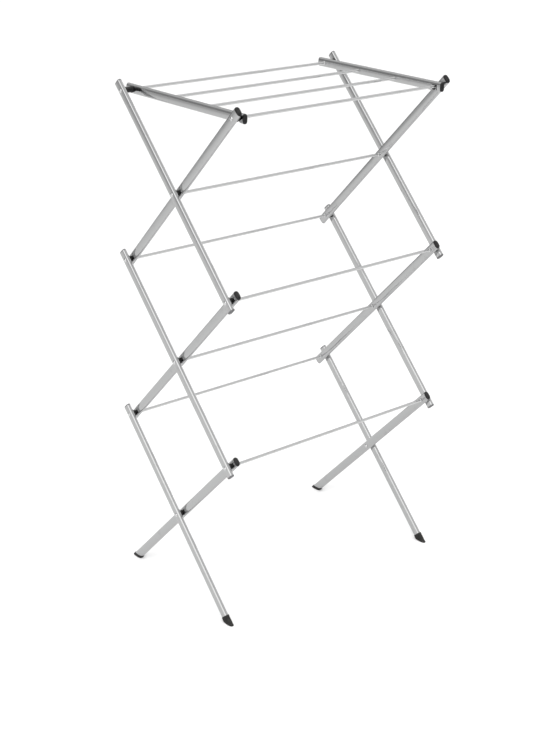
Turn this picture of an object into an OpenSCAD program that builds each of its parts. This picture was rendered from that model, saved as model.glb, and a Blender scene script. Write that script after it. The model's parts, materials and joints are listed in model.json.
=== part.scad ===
// Folding clothes drying rack: two accordion side frames of flat-oval tube,
// ten cross rods and a hinged top shelf.
// X runs across the rack, -Y is the front, +Z is up. Z = 0 is the floor.

/* [Frame] */
// Distance between the centre planes of the two outer tube layers
frame_width = 561; // [420:1:760]
// Distance from the front pivots to the back pivots
frame_depth = 330; // [260:1:420]
// Height from one row of pivots to the next
tier_height = 345; // [260:1:430]
// Length of leg from the lowest pivot height down to the floor
foot_reach = 12; // [8:0.5:40]

/* [Tube] */
// Wide side of the flat-oval tube
tube_wide = 19; // [15:0.5:25]
// Narrow side of the flat-oval tube
tube_thick = 10; // [8:0.5:14]
// How much smaller than a half circle the narrow edges are, which crowns the wide faces
tube_crown = 0.5; // [0.2:0.1:1]
// Wall of the tube
tube_wall = 1; // [0.8:0.1:1.5]
// Length of tube past its end pivots
tube_past = 19; // [17:0.5:28]
// Gap between neighbouring layers of tube
layer_gap = 4; // [3:0.5:8]

/* [Rods] */
// Diameter of the cross rods
rod_d = 6; // [4:0.25:8]
// Diameter of the domed rod heads
head_d = 9; // [8.5:0.25:12]
// Height of the domed rod heads
head_h = 1.6; // [1:0.1:3]
// Diameter of the swaged collars that keep the inner tubes in place
collar_d = 8.6; // [8.5:0.1:12]
// Thickness of the swaged collars
collar_t = 1.4; // [0.8:0.1:2]
// Wall of the spacers and bushes round the rods
spacer_wall = 3.5; // [2:0.25:6]

/* [Plugs and caps] */
// Domed head of the tube end plugs
plug_head = 3; // [2:0.25:6]
// Stem of the end plugs inside the tube
plug_stem = 10; // [5:0.5:12]
// Straight edge at the foot of a domed head
plug_edge = 0.5; // [0.25:0.25:1]
// Domed head of the black caps on the inner tubes' upper ends
cap_head = 6; // [3:0.25:9]

/* [Feet] */
// Wall of the boots and shoes round the leg
foot_wall = 0.9; // [0.6:0.1:2]
// Thickness of the sole under the cut end of a leg
sole = 3; // [2:0.25:8]
// Length of the front boots, measured on the leg's axis
boot_length = 17; // [15:0.5:40]
// Height of the rim of the back shoes above the floor
shoe_rim = 6.5; // [5:0.25:20]

/* [Shelf hooks] */
// Length of rail past the front rod
rail_front = 15; // [13:0.5:26]
// Domed nose of the hook past the rail
hook_nose = 5; // [3:0.25:9]
// Length of the hook's core behind the front rod
hook_core = 15; // [12:0.5:25]
// Extra width at the mouth of the hook's seat
seat_lead = 3; // [2.5:0.25:4]
// Room between the seat's mouth and the edge of the window cut in the rail
window_room = 0.2; // [0.1:0.1:2]
// Height of the window's top above the seat
window_rise = 0.3; // [0.2:0.1:2]

/* [Fits] */
// Radial clearance of a rod in a hole
run_gap = 0.05; // [0.02:0.01:0.1]
// Clearance between a turning face and its neighbour
face_gap = 0.3; // [0.2:0.05:0.5]
// Clearance of plugs and caps on the tube
fit_gap = 0.1; // [0.05:0.05:0.2]

/* [Hidden] */

LEFT = -1;
RIGHT = 1;
SIDES = [LEFT, RIGHT];
eps = 0.01;
$fn = 48;

// The lean of the tubes and the length between a tube's end pivots
lean = atan2(tier_height, frame_depth);
arm = norm([tier_height, frame_depth]);
half_arm = arm / 2;

// Centre planes of the three layers of tube, measured from the middle of the rack
layer_pitch = tube_thick + layer_gap;
outer_x = frame_width / 2;
inner_x = outer_x - layer_pitch;
rail_x = inner_x - layer_pitch;

// Heights of the pivot rows and of the crossings, counted down from the top
function row_z(n) = foot_reach * sin(lean) + (4 - n) * tier_height;
function cross_z(n) = row_z(n) - tier_height / 2;

// Holes for the rods, the rings on them, and the hook's seat on the front rod
hole_d = rod_d + 2 * run_gap;
spacer_d = rod_d + 2 * spacer_wall;
seat_r = rod_d / 2 + face_gap;
window_half = seat_r + seat_lead + window_room;

// Radius of a domed head's corners, and how far the head reaches past a pivot along Y
function corner_r(height) = min(height, tube_wide / 2) - plug_edge;
function head_tip(height) = (tube_past + height - corner_r(height)) * cos(lean)
    + (tube_wide / 2 - corner_r(height)) * sin(lean) + corner_r(height);

// What the feet and the hooks reach past the pivots, and the shift that centres the rack
foot_tip = foot_reach * cos(lean) + (tube_wide / 2 + foot_wall) / sin(lean);
hook_tip = rail_front + hook_nose;
front_tip = max(foot_tip, hook_tip, head_tip(cap_head));
back_tip = max(foot_tip, head_tip(plug_head));
shift_y = (front_tip - back_tip) / 2;

// Places of the shelf's two middle rods
shelf_step = frame_depth / 3;

chrome = "silver";
black = "#1c1c1e";
grey = "#8c8c90";

// ---- Placing ----

// A point in the side plane, with X across the rack
module at_pivot(y, z) {
    translate([0, y + shift_y, z]) children();
}

// The frame of an outer tube: origin at its crossing, +Z up along the tube
module on_outer(n, side) {
    at_pivot(0, cross_z(n))
        translate([side * outer_x, 0, 0]) rotate([lean - 90, 0, 0]) children();
}

// The frame of an inner tube: origin at its crossing, +Z up along the tube
module on_inner(n, side) {
    at_pivot(0, cross_z(n))
        translate([side * inner_x, 0, 0]) rotate([90 - lean, 0, 0]) children();
}

// The frame of a shelf rail: origin over the front rod, +Z towards the front
module on_rail(side) {
    at_pivot(-frame_depth / 2, row_z(1))
        translate([side * rail_x, 0, 0]) rotate([90, 0, 0]) children();
}

// ---- Shapes used more than once ----

// The tube's outline, wide along Y, grown by a margin all round: two small arcs
// on the narrow edges, which run into two large arcs on the crowned faces
module flat_oval(grow) {
    edge_r = tube_thick / 2 - tube_crown;
    edge_y = tube_wide / 2 - edge_r;
    face_r = (edge_y ^ 2 + tube_thick ^ 2 / 4 - edge_r ^ 2) / (2 * tube_crown);
    face_x = face_r - tube_thick / 2;
    joint_y = (face_r + grow) * edge_y / (face_r - edge_r);
    intersection() {
        square([tube_thick + 2 * grow, 2 * joint_y], center = true);
        translate([face_x, 0]) circle(r = face_r + grow, $fn = 360);
        translate([-face_x, 0]) circle(r = face_r + grow, $fn = 360);
    }
    for (s = [-1, 1]) translate([0, s * edge_y]) circle(r = edge_r + grow);
}

// Solid bar of the tube's outline from one height to another
module oval_bar(grow, low, high) {
    translate([0, 0, low]) linear_extrude(high - low) flat_oval(grow);
}

// Domed head of the tube's outline that stands on Z = 0
module domed_head(height) {
    intersection() {
        oval_bar(0, 0, height);
        rotate([90, 0, 90]) translate([0, 0, -tube_thick])
            linear_extrude(2 * tube_thick) head_outline(height);
    }
}

// Outline of a domed head, seen across the tube
module head_outline(height) {
    flank = tube_wide / 2 - corner_r(height);
    shoulder = height - corner_r(height);
    translate([-tube_wide / 2, 0]) square([tube_wide, shoulder]);
    translate([-flank, 0]) square([2 * flank, height]);
    for (s = [-1, 1]) translate([s * flank, shoulder]) circle(r = corner_r(height));
}

// Hollow tube
module hollow_oval(low, high) {
    translate([0, 0, low]) linear_extrude(high - low) difference() {
        flat_oval(0);
        flat_oval(-tube_wall);
    }
}

// Hole for a rod through both walls
module rod_hole(height) {
    translate([0, 0, height]) rotate([0, 90, 0])
        cylinder(d = hole_d, h = tube_thick + 2, center = true);
}

// Everything below a height, in the rack's own frame
module below(z) {
    reach = frame_width + frame_depth + tier_height;
    translate([-reach, -reach, z - reach]) cube([2 * reach, 2 * reach, reach]);
}

// Domed rod head that stands on Z = 0
module head() {
    ball_r = 0.75 * head_d;
    intersection() {
        cylinder(d = head_d, h = head_h);
        translate([0, 0, head_h - ball_r]) sphere(r = ball_r);
    }
}

// Ring that fills a gap along X between two faces, from one x to another
module ring_x(from, to, outer_d) {
    translate([from, 0, 0]) rotate([0, 90, 0]) difference() {
        cylinder(d = outer_d, h = to - from);
        translate([0, 0, -1]) cylinder(d = hole_d, h = to - from + 2);
    }
}

// The same ring on both sides of the rack
module ring_pair(from, to, outer_d) {
    for (side = SIDES) mirror([side == LEFT ? 1 : 0, 0, 0]) ring_x(from, to, outer_d);
}

// Rod across the rack with a domed head on the outer face of each end tube
module headed_rod(end_x) {
    rotate([0, 90, 0]) cylinder(d = rod_d, h = 2 * end_x, center = true);
    for (side = SIDES) rotate([0, side * 90, 0]) translate([0, 0, end_x]) head();
}

// Pair of swaged collars just inside a layer of tube
module collars(face_x) {
    for (side = SIDES) rotate([0, side * 90, 0])
        translate([0, 0, face_x - face_gap - collar_t]) cylinder(d = collar_d, h = collar_t);
}

// End plug: a domed head on the tube's end and a stem inside it
module plug(height) {
    domed_head(height);
    oval_bar(-tube_wall - fit_gap, -plug_stem, eps);
}

// ---- Tubes ----

module outer_tube(n, side) {
    foot_end = half_arm + (n == 3 ? foot_reach + tube_wide : tube_past);
    color(chrome) difference() {
        on_outer(n, side) hollow_oval(-foot_end, half_arm + tube_past);
        on_outer(n, side) {
            rod_hole(0);
            rod_hole(half_arm);
            if (n < 3) rod_hole(-half_arm);
        }
        if (n == 3) below(sole);
    }
}

module inner_tube(n, side) {
    foot_end = half_arm + (n == 3 ? foot_reach + tube_wide : tube_past);
    color(chrome) difference() {
        on_inner(n, side) hollow_oval(-foot_end, half_arm + tube_past);
        on_inner(n, side) {
            rod_hole(0);
            rod_hole(half_arm);
            if (n < 3) rod_hole(-half_arm);
        }
        if (n == 3) below(sole);
    }
}

module shelf_rail(side) {
    color(chrome) on_rail(side) difference() {
        hollow_oval(-frame_depth - tube_past, rail_front);
        rod_hole(-frame_depth);
        // The middle rods are pressed through the inboard wall only
        for (i = [1, 2]) translate([0, 0, -i * shelf_step])
            rotate([0, -side * 90, 0]) cylinder(d = rod_d, h = tube_thick);
        // The rail's local +Y points up, so the window opens downwards
        translate([-tube_thick, -tube_wide, -window_half])
            cube([2 * tube_thick, tube_wide + seat_r + window_rise, 2 * window_half]);
    }
}

// ---- Rods ----

// Rod through an outer and an inner tube on each side
module frame_rod(y, z) {
    color(chrome) at_pivot(y, z) {
        headed_rod(outer_x + tube_thick / 2);
        collars(inner_x - tube_thick / 2);
    }
}

module back_rod(n) {
    frame_rod(frame_depth / 2, row_z(n));
}

module front_rod(n) {
    frame_rod(-frame_depth / 2, row_z(n));
}

module cross_rod(n) {
    frame_rod(0, cross_z(n));
}

// The shelf turns on this rod, which the top outer tubes hold
module shelf_rod_back() {
    color(chrome) at_pivot(frame_depth / 2, row_z(1)) {
        headed_rod(outer_x + tube_thick / 2);
        collars(rail_x - tube_thick / 2);
    }
}

// The top inner tubes hold this rod, and the shelf's hooks drop over it
module top_rod_front() {
    color(chrome) at_pivot(-frame_depth / 2, row_z(1)) headed_rod(inner_x + tube_thick / 2);
}

// Shelf rod number i, counted back from the front rod; it ends just short of the outboard wall
module shelf_rod(i) {
    half = rail_x + tube_thick / 2 - tube_wall - tube_crown;
    color(chrome) at_pivot(-frame_depth / 2 + i * shelf_step, row_z(1))
        rotate([0, 90, 0]) cylinder(d = rod_d, h = 2 * half, center = true);
}

module cross_rivets_3() {
    outside = outer_x + tube_thick / 2;
    inside = inner_x - tube_thick / 2 - face_gap;
    color(chrome) at_pivot(0, cross_z(3)) for (side = SIDES) rotate([0, side * 90, 0]) {
        translate([0, 0, inside]) cylinder(d = rod_d, h = outside - inside);
        translate([0, 0, outside]) head();
        translate([0, 0, inside]) mirror([0, 0, 1]) head();
    }
}

// ---- Spacers, fixed on the outer tubes' side of each pivot ----

module frame_spacers(y, z) {
    color(black) at_pivot(y, z)
        ring_pair(inner_x + tube_thick / 2 + face_gap, outer_x - tube_thick / 2, spacer_d);
}

module shelf_bushes() {
    color(black) at_pivot(frame_depth / 2, row_z(1))
        ring_pair(rail_x + tube_thick / 2 + face_gap, outer_x - tube_thick / 2, spacer_d);
}

module top_front_spacers() {
    color(black) at_pivot(-frame_depth / 2, row_z(1))
        ring_pair(rail_x + tube_thick / 2 + face_gap, inner_x - tube_thick / 2, spacer_d);
}

// ---- Plugs, caps, hooks and feet ----

module outer_plugs(n) {
    color(grey) for (side = SIDES) on_outer(n, side) {
        translate([0, 0, half_arm + tube_past]) plug(plug_head);
        if (n < 3) mirror([0, 0, 1]) translate([0, 0, half_arm + tube_past]) plug(plug_head);
    }
}

module inner_plugs(n) {
    color(grey) for (side = SIDES) on_inner(n, side)
        mirror([0, 0, 1]) translate([0, 0, half_arm + tube_past]) plug(plug_head);
}

module rail_plugs() {
    color(grey) for (side = SIDES) on_rail(side)
        mirror([0, 0, 1]) translate([0, 0, frame_depth + tube_past]) plug(plug_head);
}

module tube_cap(n, side) {
    color(black) on_inner(n, side) translate([0, 0, half_arm + tube_past]) plug(cap_head);
}

// Outline of the seat that drops over the front rod, with its mouth downwards.
// The mouth is wider behind the rod, because the folding frame draws the rod back.
module seat_outline() {
    circle(r = seat_r);
    polygon([[-seat_r, 0], [seat_r, 0], [seat_r, -tube_wide], [-seat_r - seat_lead, -tube_wide]]);
}

module rail_hook(side) {
    color(black) on_rail(side) difference() {
        union() {
            translate([0, 0, rail_front]) domed_head(hook_nose);
            oval_bar(-tube_wall - fit_gap, -hook_core, rail_front + eps);
        }
        // Turned so that the outline's +X runs forwards and its +Y runs up
        rotate([0, -90, 0]) translate([0, 0, -tube_thick])
            linear_extrude(2 * tube_thick) seat_outline();
    }
}

// Pocket for the cut end of a leg
module leg_pocket() {
    difference() {
        children();
        below(sole);
    }
}

module front_boot(side) {
    floor_end = half_arm + foot_reach;
    color(black) difference() {
        on_outer(3, side) oval_bar(foot_wall, -floor_end - tube_wide, boot_length - floor_end);
        below(0);
        leg_pocket() on_outer(3, side) oval_bar(fit_gap, -floor_end - tube_wide, 0);
    }
}

module back_shoe(side) {
    floor_end = half_arm + foot_reach;
    color(black) difference() {
        intersection() {
            on_inner(3, side) oval_bar(foot_wall, -floor_end - tube_wide, 0);
            below(shoe_rim);
        }
        below(0);
        leg_pocket() on_inner(3, side) oval_bar(fit_gap, -floor_end - tube_wide, 0);
    }
}

// ---- The assembly ----

outer_tube(1, LEFT);  // outer_tube_1_left
outer_tube(1, RIGHT);  // outer_tube_1_right
outer_tube(2, LEFT);  // outer_tube_2_left
outer_tube(2, RIGHT);  // outer_tube_2_right
outer_tube(3, LEFT);  // outer_tube_3_left
outer_tube(3, RIGHT);  // outer_tube_3_right
inner_tube(1, LEFT);  // inner_tube_1_left
inner_tube(1, RIGHT);  // inner_tube_1_right
inner_tube(2, LEFT);  // inner_tube_2_left
inner_tube(2, RIGHT);  // inner_tube_2_right
inner_tube(3, LEFT);  // inner_tube_3_left
inner_tube(3, RIGHT);  // inner_tube_3_right
shelf_rail(LEFT);  // shelf_rail_left
shelf_rail(RIGHT);  // shelf_rail_right
shelf_rod_back();
shelf_rod(2);  // shelf_rod_mid_back
shelf_rod(1);  // shelf_rod_mid_front
top_rod_front();
cross_rod(1);  // cross_rod_1
cross_rod(2);  // cross_rod_2
back_rod(2);  // back_rod_2
front_rod(2);  // front_rod_2
back_rod(3);  // back_rod_3
front_rod(3);  // front_rod_3
cross_rivets_3();
shelf_bushes();
top_front_spacers();
frame_spacers(0, cross_z(1));  // cross_spacers_1
frame_spacers(0, cross_z(2));  // cross_spacers_2
frame_spacers(0, cross_z(3));  // cross_spacers_3
frame_spacers(frame_depth / 2, row_z(2));  // back_spacers_2
frame_spacers(-frame_depth / 2, row_z(2));  // front_spacers_2
frame_spacers(frame_depth / 2, row_z(3));  // back_spacers_3
frame_spacers(-frame_depth / 2, row_z(3));  // front_spacers_3
outer_plugs(1);  // outer_plugs_1
outer_plugs(2);  // outer_plugs_2
outer_plugs(3);  // outer_plugs_3
inner_plugs(1);  // inner_plugs_1
inner_plugs(2);  // inner_plugs_2
rail_plugs();
tube_cap(1, LEFT);  // tube_cap_1_left
tube_cap(1, RIGHT);  // tube_cap_1_right
tube_cap(2, LEFT);  // tube_cap_2_left
tube_cap(2, RIGHT);  // tube_cap_2_right
tube_cap(3, LEFT);  // tube_cap_3_left
tube_cap(3, RIGHT);  // tube_cap_3_right
rail_hook(LEFT);  // rail_hook_left
rail_hook(RIGHT);  // rail_hook_right
front_boot(LEFT);  // front_boot_left
front_boot(RIGHT);  // front_boot_right
back_shoe(LEFT);  // back_shoe_left
back_shoe(RIGHT);  // back_shoe_right
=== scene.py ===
"""Folding clothes drying rack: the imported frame, its moulded and turned pieces, finishes and studio."""
import json
import math

import bmesh
import bpy
from bpy.props import FloatProperty, FloatVectorProperty, PointerProperty
from mathutils import Matrix, Vector


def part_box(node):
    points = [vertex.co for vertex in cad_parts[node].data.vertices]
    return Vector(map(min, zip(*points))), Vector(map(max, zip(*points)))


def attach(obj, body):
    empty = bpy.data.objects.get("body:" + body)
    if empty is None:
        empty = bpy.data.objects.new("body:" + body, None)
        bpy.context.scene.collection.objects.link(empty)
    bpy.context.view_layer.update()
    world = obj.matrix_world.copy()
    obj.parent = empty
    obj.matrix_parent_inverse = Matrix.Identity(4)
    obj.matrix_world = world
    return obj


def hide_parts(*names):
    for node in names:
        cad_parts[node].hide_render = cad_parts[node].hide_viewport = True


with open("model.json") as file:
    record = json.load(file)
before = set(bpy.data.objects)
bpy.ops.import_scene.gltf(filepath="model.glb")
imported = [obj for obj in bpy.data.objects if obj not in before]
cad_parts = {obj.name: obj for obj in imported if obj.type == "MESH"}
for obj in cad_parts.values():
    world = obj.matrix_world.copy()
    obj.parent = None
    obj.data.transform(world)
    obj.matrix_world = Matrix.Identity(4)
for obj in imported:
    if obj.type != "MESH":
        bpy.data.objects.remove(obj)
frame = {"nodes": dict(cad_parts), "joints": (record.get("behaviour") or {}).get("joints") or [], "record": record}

bl_info = {
    "name": "Accordion Drying Rack",
    "version": (1, 0, 0),
    "blender": (4, 5, 0),
    "location": "View3D > Sidebar > Drying Rack",
    "description": "Builds the pieces, finishes and studio of a folding clothes drying rack",
    "category": "Add Mesh",
}

MM = 0.001
SIDES = {"left": -1, "right": 1}
TIERS = (1, 2, 3)

# ---------------------------------------------------------------- places, read from the frame

NODES = frame["nodes"]
BODIES = frame["record"]["behaviour"]["bodies"]
BODY_OF = {node: body for body, nodes in BODIES.items() for node in nodes}
PIVOT = {joint["name"]: Vector(joint["pos_m"]) for joint in frame["joints"]}


def half_size(node, axis):
    """Half of a node's extent along one axis."""
    low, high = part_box(node)
    return (high[axis] - low[axis]) / 2


def layer_x(node):
    """Distance of a node's middle from the rack's middle plane."""
    low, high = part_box(node)
    return abs(low.x + high.x) / 2


# The three layers of tube on each side
OUTER_X = layer_x("outer_tube_1_right")
INNER_X = layer_x("inner_tube_1_right")
RAIL_X = layer_x("shelf_rail_right")
HALF_THICK = half_size("shelf_rail_right", 0)
HALF_WIDE = half_size("shelf_rail_right", 2)

# The scissor's own sizes
MIDDLE_Y = PIVOT["fold"].y
BACK_Y = PIVOT["shelf_pivot"].y
HALF_DEPTH = BACK_Y - MIDDLE_Y
FRONT_Y = MIDDLE_Y - HALF_DEPTH
TIER_HEIGHT = PIVOT["cross_pivot_2"].z - PIVOT["fold"].z
LEAN = math.atan2(TIER_HEIGHT, 2 * HALF_DEPTH)
HALF_ARM = math.hypot(TIER_HEIGHT, 2 * HALF_DEPTH) / 2

# What the tubes reach past their pivots
TUBE_END = HALF_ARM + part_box("shelf_rail_left")[1].y - BACK_Y
RAIL_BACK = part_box("shelf_rail_left")[1].y - FRONT_Y
RAIL_FRONT = FRONT_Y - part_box("shelf_rail_left")[0].y

# Rods, heads and spacers
ROD_R = half_size("shelf_rod_mid_front", 2)
HEAD_R = half_size("cross_rod_1", 2)
HEAD_HIGH = half_size("cross_rod_1", 0) - OUTER_X - HALF_THICK
SPACER_R = half_size("cross_spacers_1", 2)

UP_OUTER = Vector((0, math.cos(LEAN), math.sin(LEAN)))
UP_INNER = Vector((0, -math.cos(LEAN), math.sin(LEAN)))
FORWARD = Vector((0, -1, 0))
ACROSS = Vector((1, 0, 0))


def cross_z(tier):
    """Height of a tier's crossing; tier 1 is the top one."""
    return PIVOT["fold"].z + (3 - tier) * TIER_HEIGHT


def row_z(row):
    """Height of a row of pivots; row 1 is the shelf's and row 4 the feet's."""
    return cross_z(row) + TIER_HEIGHT / 2


FOOT_END = HALF_ARM + row_z(4) / math.sin(LEAN)


def outer_place(tier, side):
    """An outer tube's frame: origin at its crossing, +Z up along the tube."""
    place = Matrix.Translation((side * OUTER_X, MIDDLE_Y, cross_z(tier)))
    return place @ Matrix.Rotation(LEAN - math.pi / 2, 4, "X")


def inner_place(tier, side):
    """An inner tube's frame: origin at its crossing, +Z up along the tube."""
    place = Matrix.Translation((side * INNER_X, MIDDLE_Y, cross_z(tier)))
    return place @ Matrix.Rotation(math.pi / 2 - LEAN, 4, "X")


def rail_place(side):
    """A shelf rail's frame: origin over the front rod, +Z to the front and +Y up."""
    place = Matrix.Translation((side * RAIL_X, FRONT_Y, row_z(1)))
    return place @ Matrix.Rotation(math.pi / 2, 4, "X")


# ---------------------------------------------------------------- settings


def size_setting(name, description, default, low, high):
    """A length setting, given in millimetres."""
    return FloatProperty(name=name, description=description, default=default * MM,
                         min=low * MM, max=high * MM, unit="LENGTH")


def colour_setting(name, description, default):
    """A colour setting."""
    return FloatVectorProperty(name=name, description=description, default=default,
                               size=3, min=0, max=1, subtype="COLOR")


class RackSizes(bpy.types.PropertyGroup):
    """Sizes of the moulded and turned pieces."""

    crown: size_setting("Crown", "How far the wide faces of the tube bulge", 0.5, 0.1, 1)
    tube_wall: size_setting("Tube Wall", "Wall of the tube", 1, 0.5, 2)
    face_gap: size_setting("Face Gap", "Clearance between a turning face and its neighbour", 0.3, 0, 1)
    fit_gap: size_setting("Fit Gap", "Clearance of plugs and caps on the tube", 0.1, 0, 0.5)
    collar_radius: size_setting("Collar Radius", "Radius of the swaged collars on the rods", 4.3, 3.5, 6)
    collar_length: size_setting("Collar Length", "Length of the swaged collars on the rods", 1.4, 0.5, 3)
    plug_edge: size_setting("Plug Edge", "Straight edge at the foot of a domed head", 0.5, 0.25, 1)
    cap_head: size_setting("Cap Head", "Height of the domed heads of the black caps", 6, 3, 9)
    hook_nose: size_setting("Hook Nose", "Domed nose of a hook past the rail", 5, 3, 9)
    hook_core: size_setting("Hook Core", "Length of a hook's core behind the front rod", 15, 10, 20)
    seat_lead: size_setting("Seat Lead", "Extra width at the mouth of a hook's seat", 3, 2, 4)
    plug_head: size_setting("Plug Head", "Height of the end plugs' domed heads", 3, 2, 5)
    plug_stem: size_setting("Plug Stem", "Length of the end plugs' ribbed stems", 10, 5, 15)
    foot_wall: size_setting("Foot Wall", "Wall of the boots and shoes round the leg", 0.9, 0.6, 2)
    sole: size_setting("Sole", "Thickness of the feet under the cut legs", 3, 2, 6)
    boot_length: size_setting("Boot Length", "Length of the front boots on the leg's axis", 17, 12, 30)
    shoe_rim: size_setting("Shoe Rim", "Height of the back shoes' rims", 6.5, 5, 15)


class RackColours(bpy.types.PropertyGroup):
    """Colours of the finishes."""

    tube_chrome: colour_setting("Tube Chrome", "Chrome plate of the tubes", (0.56, 0.562, 0.564))
    rod_chrome: colour_setting("Rod Chrome", "Chrome plate of the rods and rivets", (0.76, 0.762, 0.764))
    black: colour_setting("Black Plastic", "Moulded caps, hooks and spacers", (0.008, 0.0079, 0.0084))
    grey: colour_setting("Grey Plastic", "Moulded end plugs", (0.13, 0.13, 0.133))
    rubber: colour_setting("Rubber", "Front boots and back shoes", (0.011, 0.0108, 0.0105))
    dust: colour_setting("Dust", "Dust and floor scuffs", (0.42, 0.4, 0.37))
    floor: colour_setting("Floor", "Studio floor", (0.9, 0.9, 0.9))


class RackStudio(bpy.types.PropertyGroup):
    """Camera and light of the studio."""

    azimuth: FloatProperty(
        name="Azimuth", description="Turn of the camera round the rack",
        default=math.radians(-39.9), subtype="ANGLE")
    elevation: FloatProperty(
        name="Elevation", description="Height of the camera above the horizon",
        default=math.radians(22.4), subtype="ANGLE")
    roll: FloatProperty(
        name="Roll", description="Tilt of the camera about its own axis",
        default=math.radians(0.76), subtype="ANGLE")
    distance: FloatProperty(
        name="Distance", description="From the camera to the rack's top crossing",
        default=2.825, min=1, unit="LENGTH")
    aside: FloatProperty(
        name="Aside", description="Shift of the camera to its right",
        default=-0.0386, unit="LENGTH")
    aloft: FloatProperty(
        name="Aloft", description="Shift of the camera upwards in its own frame",
        default=-0.4068, unit="LENGTH")
    lens: FloatProperty(
        name="Lens", description="Focal length on a sensor 36 mm wide",
        default=67.15, min=10, unit="CAMERA")
    horizon: FloatProperty(
        name="Horizon", description="Brightness of the studio's dark horizon",
        default=0.38, min=0)
    ceiling: FloatProperty(
        name="Ceiling", description="Brightness overhead",
        default=0.92, min=0)
    softbox: FloatProperty(
        name="Softbox", description="Brightness of the softboxes",
        default=1.4, min=0)
    wash: FloatProperty(
        name="Wash", description="Strength of the soft wash from above",
        default=1.4, min=0)


# ---------------------------------------------------------------- outlines


def arc(centre, radius, start, stop, steps):
    """Points along an arc, both ends included; angles in radians."""
    turns = (start + (stop - start) * i / steps for i in range(steps + 1))
    return [Vector((centre[0] + radius * math.cos(t), centre[1] + radius * math.sin(t)))
            for t in turns]


def rounded(corners, steps=5):
    """An open path whose corners, given as (x, y, radius), are rounded with arcs."""
    path = [Vector(corners[0][:2])]
    for before, corner, after in zip(corners, corners[1:], corners[2:]):
        here = Vector(corner[:2])
        back = Vector(before[:2]) - here
        on = Vector(after[:2]) - here
        half = back.angle(on) / 2
        if not corner[2] or half > math.radians(89):
            path.append(here)
            continue
        reach = min(corner[2] / math.tan(half), 0.49 * back.length, 0.49 * on.length)
        back.normalize()
        on.normalize()
        centre = here + (back + on).normalized() * reach / math.cos(half)
        first, last = here + back * reach - centre, here + on * reach - centre
        swing = first.angle_signed(last)
        path += [centre + Matrix.Rotation(-swing * i / steps, 2) @ first for i in range(steps + 1)]
    path.append(Vector(corners[-1][:2]))
    return path


def flat_oval(sizes, grow, face_steps=8, edge_steps=14):
    """The tube's outline, wide along Y: two small arcs run into two large, crowned ones."""
    edge_r = HALF_THICK - sizes.crown
    edge_y = HALF_WIDE - edge_r
    face_r = (edge_y**2 + HALF_THICK**2 - edge_r**2) / (2 * sizes.crown)
    face_x = face_r - HALF_THICK
    turn = math.atan2(edge_y, face_x)
    outline = []
    for sign in (1, -1):
        flip = 0 if sign == 1 else math.pi
        face = arc((-sign * face_x, 0), face_r + grow, flip - turn, flip + turn, face_steps)
        edge = arc((0, sign * edge_y), edge_r + grow, flip + turn, flip + math.pi - turn, edge_steps)
        outline += face[:-1] + edge[:-1]
    return outline


def level_ring(sizes, grow, height, narrow=1, slim=1):
    """The outline as a ring at one height, drawn in by a share along its width and thickness."""
    return [Vector((p.x * slim, p.y * narrow, height)) for p in flat_oval(sizes, grow)]


def plane_ring(sizes, grow, place, world_z):
    """The outline as a ring where the bar of that outline meets a level plane of the rack."""
    to_rack = place.to_3x3()
    across, along = to_rack[2][1], to_rack[2][2]
    ring = []
    for p in flat_oval(sizes, grow):
        height = (world_z - place.translation.z - across * p.y) / along
        ring.append(Vector((p.x, p.y, height)))
    return ring


# ---------------------------------------------------------------- meshes


def skin(bm, rings, closed=False):
    """Join rings of equal count with faces, and cap both ends unless they are joined."""
    loops = [[bm.verts.new(point) for point in ring] for ring in rings]
    pairs = list(zip(loops, loops[1:])) + ([(loops[-1], loops[0])] if closed else [])
    for low, high in pairs:
        for i in range(len(low)):
            j = (i + 1) % len(low)
            bm.faces.new((low[i], low[j], high[j], high[i]))
    if not closed:
        bm.faces.new(reversed(loops[0]))
        bm.faces.new(loops[-1])


def turned(profile, around="X", segments=48):
    """A solid turned about an axis from a profile of (along, radius) points."""
    bm = bmesh.new()
    rings, tips = [], {}
    for index, (along, radius) in enumerate(profile):
        if radius < 1e-7:
            tips[index] = bm.verts.new((along, 0, 0))
            rings.append(None)
            continue
        turns = (2 * math.pi * i / segments for i in range(segments))
        rings.append([bm.verts.new((along, radius * math.cos(t), radius * math.sin(t))) for t in turns])
    for index in range(len(profile) - 1):
        low, high = rings[index], rings[index + 1]
        for i in range(segments):
            j = (i + 1) % segments
            if low is None:
                bm.faces.new((tips[index], high[i], high[j]))
            elif high is None:
                bm.faces.new((low[j], low[i], tips[index + 1]))
            else:
                bm.faces.new((low[j], low[i], high[i], high[j]))
    return bm


def turned_ring(profile, segments=56):
    """A ring turned about X from a closed profile of (along, radius) points."""
    bm = bmesh.new()
    loops = []
    for i in range(segments):
        t = 2 * math.pi * i / segments
        loops.append([bm.verts.new((a, r * math.cos(t), r * math.sin(t))) for a, r in profile])
    count = len(profile)
    for low, high in zip(loops, loops[1:] + loops[:1]):
        for i in range(count):
            j = (i + 1) % count
            bm.faces.new((low[i], low[j], high[j], high[i]))
    return bm


def finish_piece(name, bm, place, material, nodes, crease=math.radians(38)):
    """Turn a bmesh into a named piece that rides with the nodes it stands for."""
    bmesh.ops.transform(bm, matrix=place, verts=bm.verts)
    bmesh.ops.recalc_face_normals(bm, faces=bm.faces)
    for face in bm.faces:
        face.smooth = True
    for edge in bm.edges:
        edge.smooth = edge.calc_face_angle(0) < crease
    mesh = bpy.data.meshes.new(name)
    bm.to_mesh(mesh)
    bm.free()
    mesh.materials.append(material)
    piece = bpy.data.objects.new(name, mesh)
    bpy.context.scene.collection.objects.link(piece)
    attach(piece, BODY_OF[nodes[0]])
    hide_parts(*nodes)
    return piece


# ---------------------------------------------------------------- node building


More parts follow.
